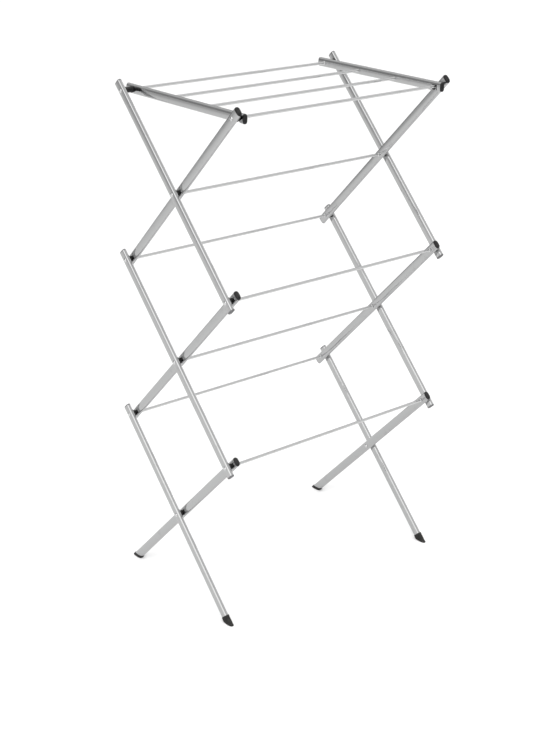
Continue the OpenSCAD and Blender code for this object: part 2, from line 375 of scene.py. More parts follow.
def add_node(tree, kind, inputs=None, **settings):
    """Add a node, set its properties, and set or link its inputs."""
    node = tree.nodes.new(kind)
    for key, value in settings.items():
        setattr(node, key, value)
    for key, value in (inputs or {}).items():
        if isinstance(value, bpy.types.NodeSocket):
            tree.links.new(value, node.inputs[key])
        else:
            node.inputs[key].default_value = value
    return node


def maths(tree, operation, *values, clamp=False):
    """A Math node's output for one to three values or sockets."""
    node = add_node(tree, "ShaderNodeMath", dict(enumerate(values)), operation=operation)
    node.use_clamp = clamp
    return node.outputs[0]


def vector_maths(tree, operation, *values, **named):
    """A Vector Math node's vector output."""
    inputs = dict(enumerate(values)) | named
    return add_node(tree, "ShaderNodeVectorMath", inputs, operation=operation).outputs[0]


def dot(tree, a, b):
    """The dot product of two vectors."""
    return add_node(tree, "ShaderNodeVectorMath", {0: a, 1: b}, operation="DOT_PRODUCT").outputs["Value"]


def ramp(tree, value, low, high, out_low=0.0, out_high=1.0):
    """Map a value smoothly from one range to another."""
    inputs = {"Value": value, "From Min": low, "From Max": high, "To Min": out_low, "To Max": out_high}
    return add_node(tree, "ShaderNodeMapRange", inputs, interpolation_type="SMOOTHSTEP").outputs[0]


def blend_colours(tree, share, first, second):
    """Mix two colours by a share."""
    node = add_node(tree, "ShaderNodeMix", data_type="RGBA")
    inputs = ((node.inputs["Factor"], share), (node.inputs[6], first), (node.inputs[7], second))
    for socket, value in inputs:
        if isinstance(value, bpy.types.NodeSocket):
            tree.links.new(value, socket)
        else:
            socket.default_value = (*value, 1) if hasattr(value, "__len__") else value
    return node.outputs[2]


def noise(tree, where, scale, detail=2.0, rough=0.5):
    """A noise texture's value, about 0 to 1."""
    inputs = {"Vector": where, "Scale": scale, "Detail": detail, "Roughness": rough}
    return add_node(tree, "ShaderNodeTexNoise", inputs).outputs["Fac"]


def new_group(name, sockets_in, sockets_out):
    """An empty node group with named inputs and outputs, and its two end nodes."""
    group = bpy.data.node_groups.new(name, "ShaderNodeTree")
    for label, kind, default in sockets_in:
        socket = group.interface.new_socket(name=label, in_out="INPUT", socket_type=kind)
        socket.default_value = default
    for label, kind in sockets_out:
        group.interface.new_socket(name=label, in_out="OUTPUT", socket_type=kind)
    inlet = group.nodes.new("NodeGroupInput")
    outlet = group.nodes.new("NodeGroupOutput")
    return group, inlet.outputs, outlet.inputs


def use_group(tree, group, inputs):
    """Place a group with its inputs set or linked, and return its outputs."""
    return add_node(tree, "ShaderNodeGroup", inputs, node_tree=group).outputs


def own_place(tree):
    """Where a point of the surface is on the piece, in metres."""
    return add_node(tree, "ShaderNodeTexCoord").outputs["Object"]


# ---------------------------------------------------------------- effects that materials share


def draw_lines_group():
    """Fine lines left by the drawing die, long in one direction."""
    sockets = [("Along", "NodeSocketVector", (0, 0, 1)), ("Scale", "NodeSocketFloat", 1500.0),
               ("Stretch", "NodeSocketFloat", 0.006)]
    group, given, result = new_group("Draw Lines", sockets, [("Height", "NodeSocketFloat")])
    where = own_place(group)
    travel = dot(group, where, given["Along"])
    shorten = maths(group, "SUBTRACT", given["Stretch"], 1.0)
    shift = maths(group, "MULTIPLY", travel, shorten)
    offset = vector_maths(group, "SCALE", given["Along"], Scale=shift)
    squeezed = vector_maths(group, "ADD", where, offset)
    coarse = noise(group, squeezed, given["Scale"], detail=1)
    fine = noise(group, squeezed, maths(group, "MULTIPLY", given["Scale"], 2.7), detail=2)
    group.links.new(maths(group, "ADD", coarse, maths(group, "MULTIPLY", fine, 0.5)), result["Height"])
    return group


def ripple_group():
    """The slow unevenness of a rolled and polished surface."""
    sockets = [("Scale", "NodeSocketFloat", 14.0), ("Orange Peel", "NodeSocketFloat", 0.04)]
    group, given, result = new_group("Polished Ripple", sockets, [("Height", "NodeSocketFloat")])
    where = own_place(group)
    slow = noise(group, where, given["Scale"], detail=0)
    peel = noise(group, where, maths(group, "MULTIPLY", given["Scale"], 18.0), detail=1)
    small = maths(group, "MULTIPLY", peel, given["Orange Peel"])
    group.links.new(maths(group, "ADD", slow, small), result["Height"])
    return group


def handling_group():
    """Faint smears and dried drops from use."""
    sockets = [("Scale", "NodeSocketFloat", 55.0), ("Cover", "NodeSocketFloat", 0.55)]
    group, given, result = new_group("Handling Marks", sockets, [("Mask", "NodeSocketFloat")])
    where = own_place(group)
    broad = noise(group, where, given["Scale"], detail=3, rough=0.65)
    edge = maths(group, "ADD", given["Cover"], 0.16)
    smear = ramp(group, broad, given["Cover"], edge)
    drops = add_node(group, "ShaderNodeTexVoronoi",
                     {"Vector": where, "Scale": maths(group, "MULTIPLY", given["Scale"], 6.0)})
    rim = maths(group, "ABSOLUTE", maths(group, "SUBTRACT", drops.outputs["Distance"], 0.24))
    ring = ramp(group, rim, 0.0, 0.05, 0.55, 0.0)
    rare = ramp(group, noise(group, where, maths(group, "MULTIPLY", given["Scale"], 0.8)), 0.52, 0.62)
    group.links.new(maths(group, "MAXIMUM", smear, maths(group, "MULTIPLY", ring, rare)), result["Mask"])
    return group


def scratches_group():
    """Thin scratches in three directions, thick where the surface is handled most."""
    sockets = [("Scale", "NodeSocketFloat", 420.0), ("Cover", "NodeSocketFloat", 0.67)]
    group, given, result = new_group("Hairline Scratches", sockets, [("Mask", "NodeSocketFloat")])
    where = own_place(group)
    found = None
    for turn in (0.4, 1.5, 2.5):
        turned_place = add_node(group, "ShaderNodeVectorRotate", {
            "Vector": where, "Axis": (0.3, 0.8, 0.5), "Angle": turn}).outputs[0]
        thin = vector_maths(group, "MULTIPLY", turned_place, (0.03, 1.0, 0.03))
        lines = noise(group, thin, maths(group, "MULTIPLY", given["Scale"], 1.0 + turn), detail=0)
        mask = ramp(group, lines, given["Cover"], maths(group, "ADD", given["Cover"], 0.05))
        found = mask if found is None else maths(group, "MAXIMUM", found, mask)
    patches = ramp(group, noise(group, where, 35.0, detail=1), 0.42, 0.62)
    group.links.new(maths(group, "MULTIPLY", found, patches), result["Mask"])
    return group


def grain_group():
    """The fine texture that an etched mould leaves on plastic."""
    sockets = [("Scale", "NodeSocketFloat", 3200.0)]
    outputs = [("Height", "NodeSocketFloat"), ("Tone", "NodeSocketFloat")]
    group, given, result = new_group("Moulded Grain", sockets, outputs)
    where = own_place(group)
    cells = add_node(group, "ShaderNodeTexVoronoi", {"Vector": where, "Scale": given["Scale"]})
    soft = noise(group, where, maths(group, "MULTIPLY", given["Scale"], 0.45), detail=3)
    height = maths(group, "ADD", cells.outputs["Distance"], soft)
    group.links.new(height, result["Height"])
    flow = noise(group, where, maths(group, "MULTIPLY", given["Scale"], 0.05), detail=2)
    group.links.new(flow, result["Tone"])
    return group


def edge_wear_group():
    """Where corners have been rubbed smooth, broken up by noise."""
    sockets = [("Radius", "NodeSocketFloat", 0.6 * MM), ("Amount", "NodeSocketFloat", 0.6)]
    group, given, result = new_group("Edge Wear", sockets, [("Mask", "NodeSocketFloat")])
    bevel = add_node(group, "ShaderNodeBevel", {"Radius": given["Radius"]}, samples=4)
    true_normal = add_node(group, "ShaderNodeNewGeometry").outputs["Normal"]
    bend = maths(group, "SUBTRACT", 1.0, dot(group, bevel.outputs[0], true_normal))
    corner = ramp(group, bend, 0.01, 0.12)
    patches = ramp(group, noise(group, own_place(group), 700.0, detail=3), 0.35, 0.65)
    worn = maths(group, "MULTIPLY", maths(group, "MULTIPLY", corner, patches), given["Amount"])
    group.links.new(worn, result["Mask"])
    return group


def dust_group():
    """Dust that has settled where the surface faces up."""
    sockets = [("Amount", "NodeSocketFloat", 0.3)]
    group, given, result = new_group("Settled Dust", sockets, [("Mask", "NodeSocketFloat")])
    facing = add_node(group, "ShaderNodeSeparateXYZ",
                      {0: add_node(group, "ShaderNodeNewGeometry").outputs["Normal"]}).outputs["Z"]
    up = ramp(group, facing, 0.1, 0.95)
    patches = ramp(group, noise(group, own_place(group), 160.0, detail=5, rough=0.7), 0.3, 0.7)
    settled = maths(group, "MULTIPLY", maths(group, "MULTIPLY", up, patches), given["Amount"])
    group.links.new(settled, result["Mask"])
    return group


GROUP_MAKERS = {
    "lines": draw_lines_group, "ripple": ripple_group, "handling": handling_group,
    "scratches": scratches_group, "grain": grain_group, "wear": edge_wear_group, "dust": dust_group}
GROUPS = {}


def effect(name):
    """The shared node group of that name, built the first time it is wanted."""
    if name not in GROUPS:
        GROUPS[name] = GROUP_MAKERS[name]()
    return GROUPS[name]


# ---------------------------------------------------------------- finishes


def new_material(name):
    """A node material with its tree and its shader."""
    material = bpy.data.materials.new(name)
    material.use_nodes = True
    tree = material.node_tree
    return material, tree, tree.nodes["Principled BSDF"]


def shade(colour, factor):
    """A colour made lighter or darker."""
    return tuple(channel * factor for channel in colour)


def roughen(tree, shader, height, depth, strength):
    """Drive a shader's normal with a bump of some depth in metres."""
    inputs = {"Height": height, "Distance": depth, "Strength": strength}
    tree.links.new(add_node(tree, "ShaderNodeBump", inputs).outputs[0], shader.inputs["Normal"])


def chrome_finish(name, colour, along):
    """Chrome plate over drawn steel, with its lines running along one direction."""
    material, tree, shader = new_material(name)
    lines = use_group(tree, effect("lines"), {"Along": along})["Height"]
    ripple = use_group(tree, effect("ripple"), {})["Height"]
    marks = use_group(tree, effect("handling"), {})["Mask"]
    scratches = use_group(tree, effect("scratches"), {})["Mask"]
    dust = use_group(tree, effect("dust"), {"Amount": 0.35})["Mask"]
    plate = blend_colours(tree, maths(tree, "MULTIPLY", marks, 0.5), colour, shade(colour, 0.86))
    tree.links.new(plate, shader.inputs["Base Color"])
    shader.inputs["Metallic"].default_value = 1.0
    blur = maths(tree, "MULTIPLY_ADD", marks, 0.09, 0.06)
    blur = maths(tree, "MULTIPLY_ADD", scratches, 0.12, blur)
    blur = maths(tree, "MULTIPLY_ADD", dust, 0.18, blur)
    tree.links.new(blur, shader.inputs["Roughness"])
    waves = add_node(tree, "ShaderNodeBump", {"Height": ripple, "Distance": 90e-6, "Strength": 1.0})
    drawn = maths(tree, "SUBTRACT", lines, maths(tree, "MULTIPLY", scratches, 1.5))
    fine = add_node(tree, "ShaderNodeBump", {
        "Height": drawn, "Distance": 1.2e-6, "Strength": 1.0, "Normal": waves.outputs[0]})
    tree.links.new(fine.outputs[0], shader.inputs["Normal"])
    return material


def moulded_finish(name, colour, dust_colour, rough, worn_colour):
    """Moulded plastic with an etched grain, rubbed corners and a little dust."""
    material, tree, shader = new_material(name)
    grain = use_group(tree, effect("grain"), {})
    wear = use_group(tree, effect("wear"), {})["Mask"]
    dust = use_group(tree, effect("dust"), {"Amount": 0.05})["Mask"]
    scratches = use_group(tree, effect("scratches"), {"Scale": 700.0})["Mask"]
    shader.inputs["Specular IOR Level"].default_value = 0.3
    body = blend_colours(tree, grain["Tone"], shade(colour, 0.8), shade(colour, 1.3))
    rubbed = blend_colours(tree, maths(tree, "MAXIMUM", wear, maths(tree, "MULTIPLY", scratches, 0.3)),
                           body, worn_colour)
    tree.links.new(blend_colours(tree, dust, rubbed, dust_colour), shader.inputs["Base Color"])
    gloss = maths(tree, "MULTIPLY_ADD", grain["Tone"], 0.14, rough)
    gloss = maths(tree, "MULTIPLY_ADD", wear, -0.12, gloss)
    tree.links.new(maths(tree, "MULTIPLY_ADD", dust, 0.5, gloss), shader.inputs["Roughness"])
    roughen(tree, shader, grain["Height"], 14e-6, 0.8)
    return material


def rubber_finish(name, colour, dust_colour):
    """Moulded rubber, scuffed and dusty near the floor."""
    material, tree, shader = new_material(name)
    grain = use_group(tree, effect("grain"), {"Scale": 1900.0})
    wear = use_group(tree, effect("wear"), {"Radius": 0.9 * MM})["Mask"]
    dust = use_group(tree, effect("dust"), {"Amount": 0.08})["Mask"]
    shader.inputs["Specular IOR Level"].default_value = 0.3
    where = own_place(tree)
    height = add_node(tree, "ShaderNodeSeparateXYZ", {0: where}).outputs["Z"]
    low = ramp(tree, height, 0.0, 9 * MM, 1.0, 0.0)
    scuffs = ramp(tree, noise(tree, where, 420.0, detail=5, rough=0.7), 0.45, 0.7)
    floor_dust = maths(tree, "MULTIPLY", maths(tree, "MULTIPLY", low, scuffs), 0.12)
    body = blend_colours(tree, grain["Tone"], shade(colour, 0.75), shade(colour, 1.4))
    rubbed = blend_colours(tree, maths(tree, "MULTIPLY", wear, 0.5), body, shade(colour, 4))
    dirt = maths(tree, "MAXIMUM", dust, floor_dust)
    tree.links.new(blend_colours(tree, dirt, rubbed, dust_colour), shader.inputs["Base Color"])
    tree.links.new(maths(tree, "MULTIPLY_ADD", grain["Tone"], 0.15, 0.5), shader.inputs["Roughness"])
    roughen(tree, shader, grain["Height"], 25e-6, 0.9)
    return material


FINISHES = {}


def finish(name):
    """The finish of that name, built the first time a piece wants it."""
    colours = bpy.context.scene.rack_colours
    makers = {
        "outer_chrome": lambda: chrome_finish("Outer tube chrome", colours.tube_chrome, UP_OUTER),
        "inner_chrome": lambda: chrome_finish("Inner tube chrome", colours.tube_chrome, UP_INNER),
        "rail_chrome": lambda: chrome_finish("Rail chrome", colours.tube_chrome, FORWARD),
        "rod_chrome": lambda: chrome_finish("Rod chrome", colours.rod_chrome, ACROSS),
        "black_plastic": lambda: moulded_finish(
            "Black plastic", colours.black, colours.dust, 0.3, shade(colours.black, 4)),
        "grey_plastic": lambda: moulded_finish(
            "Grey plastic", colours.grey, colours.dust, 0.34, shade(colours.grey, 1.5)),
        "rubber": lambda: rubber_finish("Foot rubber", colours.rubber, colours.dust)}
    if name not in FINISHES:
        FINISHES[name] = makers[name]()
    return FINISHES[name]


# ---------------------------------------------------------------- turned pieces


def dome(face_x, radius, height, steps=10):
    """Profile of a domed head from its tip to its rim, standing on a face."""
    ball = (radius**2 + height**2) / (2 * height)
    spread = math.asin(radius / ball)
    return [Vector((face_x + height - ball + ball * math.cos(t), ball * math.sin(t)))
            for t in (spread * i / steps for i in range(steps + 1))]


def mirrored(half):
    """A profile along X completed by its own mirror image."""
    return half + [Vector((-p.x, p.y)) for p in reversed(half)]


def rod_profile(sizes, head_x, collar_x=None):
    """Half of a rod's profile: a domed head past one face and a collar inside another."""
    half = dome(head_x, HEAD_R, HEAD_HIGH)
    if collar_x is None:
        return half + [Vector((head_x, ROD_R))]
    outside = collar_x - sizes.face_gap
    inside = outside - sizes.collar_length
    swell = 0.45 * sizes.collar_length
    shank = rounded([
        (head_x, ROD_R, 0), (outside, ROD_R, 0), (outside, sizes.collar_radius, swell),
        (inside, sizes.collar_radius, swell), (inside - 1.2 * MM, ROD_R, 1 * MM),
        (inside - 4 * MM, ROD_R, 0)])
    return half + shank


def build_rod(node, y, z, half):
    """One rod across the rack from half of its profile."""
    bm = turned(mirrored(half))
    place = Matrix.Translation((0, y, z))
    finish_piece(f"plated_{node}", bm, place, finish("rod_chrome"), [node])


def ring_profile(start, stop, outer, corner, waist=0.0):
    """Closed profile of a ring along X; a waist leaves a flange at each end."""
    bore = ROD_R + 0.05 * MM
    lip = 0.3 * MM
    flange = 0.16 * (stop - start)
    top = [(start, outer, corner)]
    if waist:
        top += [(start + flange, outer, corner), (start + flange * 1.5, outer - waist, 0.4 * MM),
                (stop - flange * 1.5, outer - waist, 0.4 * MM), (stop - flange, outer, corner)]
    top += [(stop, outer, corner)]
    corners = [(start, bore, lip), *top, (stop, bore, lip)]
    middle = (start + stop) / 2
    path = rounded([(middle, bore, 0), *corners, (middle, bore, 0)], steps=4)
    return path[:-1]


def build_ring_pair(node, y, z, start, stop, waist=0.0):
    """The ring between two layers of tube on each side of the rack."""
    label = node.replace("spacers", "spacer").replace("bushes", "bush")
    for side_name, side in SIDES.items():
        bm = turned_ring(ring_profile(start, stop, SPACER_R, 0.6 * MM, waist))
        flip = Matrix.Scale(side, 4, (1, 0, 0))
        place = Matrix.Translation((0, y, z)) @ flip
        finish_piece(f"{label}_{side_name}", bm, place, finish("black_plastic"), [node])


# ---------------------------------------------------------------- moulded pieces


def nose_rings(sizes, start, length, wide_round, thick_round, steps=12):
    """Rings of a pillow-shaped nose that rounds off over its own length."""
    rings = []
    for i in range(steps + 1):
        share = math.sin(math.pi / 2 * i / steps)
        height = start + length * share
        left = length * (1 - share)
        draw = [radius - math.sqrt(max(0.0, radius**2 - max(0.0, radius - left)**2))
                for radius in (wide_round, thick_round)]
        rings.append(level_ring(sizes, 0, height, 1 - draw[0] / HALF_WIDE, 1 - draw[1] / HALF_THICK))
    return rings


def head_rings(sizes, start, height):
    """Rings of a domed head in the tube's outline, from its rim on the tube to its crown."""
    edge = sizes.plug_edge
    corner = min(height, HALF_WIDE) - edge
    rim = [level_ring(sizes, -0.25 * MM, start), level_ring(sizes, -0.25 * MM, start + 0.2 * MM),
           level_ring(sizes, 0, start + 0.8 * edge)]
    crown = nose_rings(sizes, start + edge, height - edge, corner, min(corner, 0.9 * HALF_THICK))
    return rim + crown


def build_plug(sizes, name, node, place, height, material):
    """A tube's end plug: a domed head on the rim and a ribbed stem inside."""
    fit = -sizes.tube_wall - sizes.fit_gap
    root = fit - 0.4 * MM
    stem = [level_ring(sizes, root - 0.4 * MM, -sizes.plug_stem),
            level_ring(sizes, root, 0.8 * MM - sizes.plug_stem)]
    ribs = 3
    for i in range(ribs):
        foot = -sizes.plug_stem * (0.82 - i / ribs)
        if foot < -1.5 * MM:
            rib = ((root, foot), (fit, foot + 0.5 * MM), (fit, foot + 1 * MM), (root, foot + 1.1 * MM))
            stem += [level_ring(sizes, grow, rise) for grow, rise in rib]
    stem.append(level_ring(sizes, root, 0))
    bm = bmesh.new()
    skin(bm, stem + head_rings(sizes, 0, height))
    finish_piece(name, bm, place, finish(material), [node])


def seat_cutter(sizes):
    """A solid bar of the seat's outline across the rail: a round bed with a flared mouth below."""
    bed = ROD_R + sizes.face_gap
    below = -2 * HALF_WIDE
    lip = bed + sizes.seat_lead
    outline = arc((0, 0), bed, 0, math.pi, 16) + [Vector((-lip, below)), Vector((bed, below))]
    reach = 3 * HALF_THICK
    bm = bmesh.new()
    skin(bm, [[Vector((x, p.y, p.x)) for p in outline] for x in (-reach, reach)])
    bmesh.ops.recalc_face_normals(bm, faces=bm.faces)
    return bm


def cut_away(bm, cutter):
    """Subtract one closed mesh from another and return the result."""
    made = []
    for label, source in (("block", bm), ("cutter", cutter)):
        mesh = bpy.data.meshes.new(label)
        bmesh.ops.recalc_face_normals(source, faces=source.faces)
        source.to_mesh(mesh)
        source.free()
        made.append(bpy.data.objects.new(label, mesh))
        bpy.context.scene.collection.objects.link(made[-1])
    block, tool = made
    modifier = block.modifiers.new("Cut", "BOOLEAN")
    modifier.operation, modifier.solver, modifier.object = "DIFFERENCE", "EXACT", tool
    result = bmesh.new()
    depsgraph = bpy.context.evaluated_depsgraph_get()
    result.from_object(block, depsgraph)
    for item in made:
        mesh = item.data
        bpy.data.objects.remove(item)
        bpy.data.meshes.remove(mesh)
    return result


def build_hook(sizes, name, node, place):
    """A rail's hook: a core in the rail's end with the rod's seat, and a domed nose."""
    fit = -sizes.tube_wall - sizes.fit_gap
    core = [level_ring(sizes, fit - 0.5 * MM, -sizes.hook_core),
            level_ring(sizes, fit, 0.5 * MM - sizes.hook_core), level_ring(sizes, fit, RAIL_FRONT)]
    bm = bmesh.new()
    skin(bm, core + head_rings(sizes, RAIL_FRONT, sizes.hook_nose))
    bm = cut_away(bm, seat_cutter(sizes))
    piece = finish_piece(name, bm, place, finish("black_plastic"), [node])
    soften(piece, 0.25 * MM)


def soften(piece, width):
    """Round a piece's sharp edges a little."""
    bevel = piece.modifiers.new("Soft edges", "BEVEL")
    bevel.width, bevel.segments = width, 2
    bevel.limit_method, bevel.angle_limit = "ANGLE", math.radians(50)


def foot_base(sizes, place):
    """Rings of a foot from its wall down to the floor and into the hollow of its sole."""
    wall = sizes.foot_wall
    steps = [(wall, 2.6), (wall + 0.2 * MM, 1.7), (wall + 0.25 * MM, 1.1), (wall + 0.1 * MM, 0.45),
             (wall - 0.3 * MM, 0.1), (wall - 0.8 * MM, 0.0), (-1.4 * MM, 0.0), (-1.8 * MM, 0.7)]
    return [plane_ring(sizes, grow, place, rise * MM) for grow, rise in steps]


def build_boot(sizes, name, node, place):
    """A front boot: a sleeve square to the leg, cut flat at the floor."""
    rim = sizes.boot_length - FOOT_END
    pocket = [plane_ring(sizes, sizes.fit_gap, place, sizes.sole)]
    lip = [level_ring(sizes, grow, rim - drop * MM) for grow, drop in (
        (sizes.fit_gap, 0.4), (sizes.fit_gap + 0.3 * MM, 0.0), (sizes.foot_wall, 0.0),
        (sizes.foot_wall + 0.2 * MM, 0.25), (sizes.foot_wall + 0.25 * MM, 0.7),
        (sizes.foot_wall + 0.2 * MM, 1.3), (sizes.foot_wall, 1.7))]
    bm = bmesh.new()
    skin(bm, pocket + lip + foot_base(sizes, place))
    finish_piece(name, bm, place, finish("rubber"), [node])


def build_shoe(sizes, name, node, place):
    """A short back shoe whose rim runs level with the floor."""
    rim = sizes.shoe_rim
    pocket = [plane_ring(sizes, sizes.fit_gap, place, sizes.sole)]
    lip = [plane_ring(sizes, grow, place, rim - drop * MM) for grow, drop in (
        (sizes.fit_gap, 0.3), (sizes.fit_gap + 0.25 * MM, 0.0), (sizes.foot_wall - 0.1 * MM, 0.0),
        (sizes.foot_wall + 0.15 * MM, 0.3), (sizes.foot_wall + 0.2 * MM, 0.8), (sizes.foot_wall, 1.4))]
    bm = bmesh.new()
    skin(bm, pocket + lip + foot_base(sizes, place))
    finish_piece(name, bm, place, finish("rubber"), [node])


# ---------------------------------------------------------------- studio


def softbox(tree, direction, centre, half_width, half_height, feather=0.06):
    """Share of a softbox seen in a direction, for a box far away round a centre."""
    middle = Vector(centre).normalized()
    aside = Vector((0, 0, 1)).cross(middle).normalized()
    aloft = middle.cross(aside)
    ahead = dot(tree, direction, middle)
    depth = maths(tree, "MAXIMUM", ahead, 0.001)
    share = maths(tree, "GREATER_THAN", ahead, 0.0)
    for axis, half in ((aside, half_width), (aloft, half_height)):
        offset = maths(tree, "ABSOLUTE", maths(tree, "DIVIDE", dot(tree, direction, axis), depth))
        inside = ramp(tree, offset, half - feather, half + feather, 1.0, 0.0)
        share = maths(tree, "MULTIPLY", share, inside)
    return share


def build_world(studio):
    """A white backdrop for the camera and a studio of softboxes for light and reflections."""
    world = bpy.data.worlds.new("Studio")
    bpy.context.scene.world = world
    world.use_nodes = True
    tree = world.node_tree
    tree.nodes.clear()
    direction = add_node(tree, "ShaderNodeTexCoord").outputs["Generated"]
    parts = add_node(tree, "ShaderNodeSeparateXYZ", {0: direction}).outputs
    behind = ramp(tree, parts["Y"], -0.6, 0.6, 0.72, studio.horizon)
    light = ramp(tree, parts["Z"], 0.2, 0.7, behind, studio.ceiling)
    boxes = (((-0.93, -0.1, 0.36), 0.45, 0.38, 1.0), ((0.95, 0.05, 0.28), 0.35, 0.35, 0.7))
    for centre, half_width, half_height, share in boxes:
        seen = softbox(tree, direction, centre, half_width, half_height)
        light = maths(tree, "MULTIPLY_ADD", seen, share * studio.softbox, light)
    room = add_node(tree, "ShaderNodeBackground", {"Strength": light})
    backdrop = add_node(tree, "ShaderNodeBackground", {"Color": (1, 1, 1, 1), "Strength": 1.0})
    to_camera = add_node(tree, "ShaderNodeLightPath").outputs["Is Camera Ray"]
    mix = add_node(tree, "ShaderNodeMixShader",
                   {0: to_camera, 1: room.outputs[0], 2: backdrop.outputs[0]})
    add_node(tree, "ShaderNodeOutputWorld", {"Surface": mix.outputs[0]})


def floor_finish(colour):
    """Pale studio floor, which reflections see darker away from the rack: painted shade in the floor's colour, for
    reflections only, standing in for light falling off with distance.
    """
    material, tree, shader = new_material("Studio floor")
    where = own_place(tree)
    away = add_node(tree, "ShaderNodeVectorMath", {0: where}, operation="LENGTH").outputs["Value"]
    # Painted shade: the share of the floor's colour that reflections keep, less the further from the rack
    painted_falloff = ramp(tree, away, 2.5, 8.0, 0.72, 0.5)
    tint = ramp(tree, noise(tree, where, 9.0, detail=4), 0.3, 0.7, 0.985, 1.0)
    reflected = add_node(tree, "ShaderNodeLightPath").outputs["Is Glossy Ray"]
    # Painted shade for reflections only: the floor's colour is darkened towards black
    share = maths(tree, "MULTIPLY", maths(tree, "SUBTRACT", 1.0, painted_falloff), reflected)
    base = blend_colours(tree, tint, shade(colour, 0.97), tuple(colour))
    tree.links.new(blend_colours(tree, share, base, (0, 0, 0)), shader.inputs["Base Color"])
    shader.inputs["Roughness"].default_value = 0.8
    shader.inputs["Specular IOR Level"].default_value = 0.2
    return material


def build_floor(colour):
    """A wide round floor."""
    bm = bmesh.new()
    bmesh.ops.create_circle(bm, cap_ends=True, radius=30, segments=128)
    mesh = bpy.data.meshes.new("studio_floor")
    bm.to_mesh(mesh)
    bm.free()
    mesh.materials.append(floor_finish(colour))
    floor = bpy.data.objects.new("studio_floor", mesh)
    bpy.context.scene.collection.objects.link(floor)


def hang_lamp(name, lamp, centre):
    """Hang a lamp that lights the rack but leaves no mirror image in the chrome."""
    holder = bpy.data.objects.new(name, lamp)
    holder.location = centre
    aim = Vector((0, 0, 0.5)) - Vector(centre)
    holder.rotation_mode = "QUATERNION"
    holder.rotation_quaternion = aim.to_track_quat("-Z", "Y")
    holder.visible_camera = False
    holder.visible_glossy = False
    bpy.context.scene.collection.objects.link(holder)


def build_lamps(studio):
    """A soft wash from above, and a key lamp from the front left."""
    wash = bpy.data.lights.new("Wash", "SUN")
    wash.energy, wash.angle = studio.wash, math.radians(80)
    hang_lamp("Wash", wash, (-0.6, -0.8, 4))
    key = bpy.data.lights.new("Key lamp", "AREA")
    key.shape, key.size, key.energy = "SQUARE", 2.0, 60
    hang_lamp("Key lamp", key, (-2.2, -2.2, 3.2))


def build_camera(studio):
    """The camera, placed from the rack's top crossing."""
    turn, rise = studio.azimuth, studio.elevation
    back = Vector((math.sin(turn) * math.cos(rise), -math.cos(turn) * math.cos(rise), math.sin(rise)))
    right = Vector((math.cos(turn), math.sin(turn), 0))
    up = back.cross(right)
    tilt = Matrix.Rotation(studio.roll, 3, back)
    right, up = tilt @ right, tilt @ up
    lens = bpy.data.cameras.new("Camera")
    lens.lens, lens.sensor_width, lens.clip_end = studio.lens, 36, 100
    camera = bpy.data.objects.new("Camera", lens)
    place = Matrix((right, up, back)).transposed().to_4x4()
    aim = Vector((0, MIDDLE_Y, cross_z(1)))
    place.translation = aim + back * studio.distance + right * studio.aside + up * studio.aloft
    camera.matrix_world = place
    bpy.context.scene.collection.objects.link(camera)
    bpy.context.scene.camera = camera


# ---------------------------------------------------------------- operators


class RACK_OT_stage(bpy.types.Operator):
    """Build the floor, the studio's light and the camera"""

    bl_idname = "rack.stage"
    bl_label = "Stage"

    def execute(self, context):
        studio = context.scene.rack_studio
        build_camera(studio)
        build_world(studio)
        build_floor(context.scene.rack_colours.floor)
        build_lamps(studio)
        context.scene.view_settings.view_transform = "Standard"
        return {"FINISHED"}


class RACK_OT_tubes(bpy.types.Operator):
    """Plate the outer tubes, the inner tubes and the shelf rails"""

    bl_idname = "rack.tubes"
    bl_label = "Tubes and Rails"

    def execute(self, context):
        for side in SIDES:
            plated = {f"shelf_rail_{side}": "rail_chrome"}
            plated |= {f"outer_tube_{tier}_{side}": "outer_chrome" for tier in TIERS}
            plated |= {f"inner_tube_{tier}_{side}": "inner_chrome" for tier in TIERS}
            for node, name in plated.items():
                NODES[node].data.materials.clear()
                NODES[node].data.materials.append(finish(name))
        return {"FINISHED"}


class RACK_OT_rods(bpy.types.Operator):
    """Turn the cross rods with their heads and collars"""

    bl_idname = "rack.rods"
    bl_label = "Cross Rods"

    def execute(self, context):
        sizes = context.scene.rack_sizes
        outside, inner_face = OUTER_X + HALF_THICK, INNER_X - HALF_THICK
        frame_half = rod_profile(sizes, outside, inner_face)
        for tier in (1, 2):
            build_rod(f"cross_rod_{tier}", MIDDLE_Y, cross_z(tier), frame_half)
        for row in (2, 3):
            build_rod(f"back_rod_{row}", BACK_Y, row_z(row), frame_half)
            build_rod(f"front_rod_{row}", FRONT_Y, row_z(row), frame_half)
        shelf_half = rod_profile(sizes, outside, RAIL_X - HALF_THICK)
        build_rod("shelf_rod_back", BACK_Y, row_z(1), shelf_half)
        build_rod("top_rod_front", FRONT_Y, row_z(1), rod_profile(sizes, INNER_X + HALF_THICK))
        end = half_size("shelf_rod_mid_front", 0)
        plain_half = rounded([(end, 0, 0), (end, ROD_R, 0.4 * MM), (end - 5 * MM, ROD_R, 0)])
        for node in ("shelf_rod_mid_front", "shelf_rod_mid_back"):
            low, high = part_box(node)
            build_rod(node, (low.y + high.y) / 2, row_z(1), plain_half)
        return {"FINISHED"}


class RACK_OT_rivets(bpy.types.Operator):
    """Turn the short rivets of the bottom crossing"""

    bl_idname = "rack.rivets"
    bl_label = "Rivets"

    def execute(self, context):
        sizes = context.scene.rack_sizes
        outside = OUTER_X + HALF_THICK
        inside = INNER_X - HALF_THICK - sizes.face_gap
        tail = [Vector((2 * inside - p.x, p.y)) for p in reversed(dome(inside, HEAD_R, HEAD_HIGH))]
        shank = [Vector((outside, ROD_R)), Vector((inside, ROD_R))]
        profile = dome(outside, HEAD_R, HEAD_HIGH) + shank + tail
        for side_name, side in SIDES.items():
            place = Matrix.Translation((0, MIDDLE_Y, cross_z(3))) @ Matrix.Scale(side, 4, (1, 0, 0))
            finish_piece(f"cross_rivet_{side_name}", turned(profile), place, finish("rod_chrome"),
                         ["cross_rivets_3"])
        return {"FINISHED"}


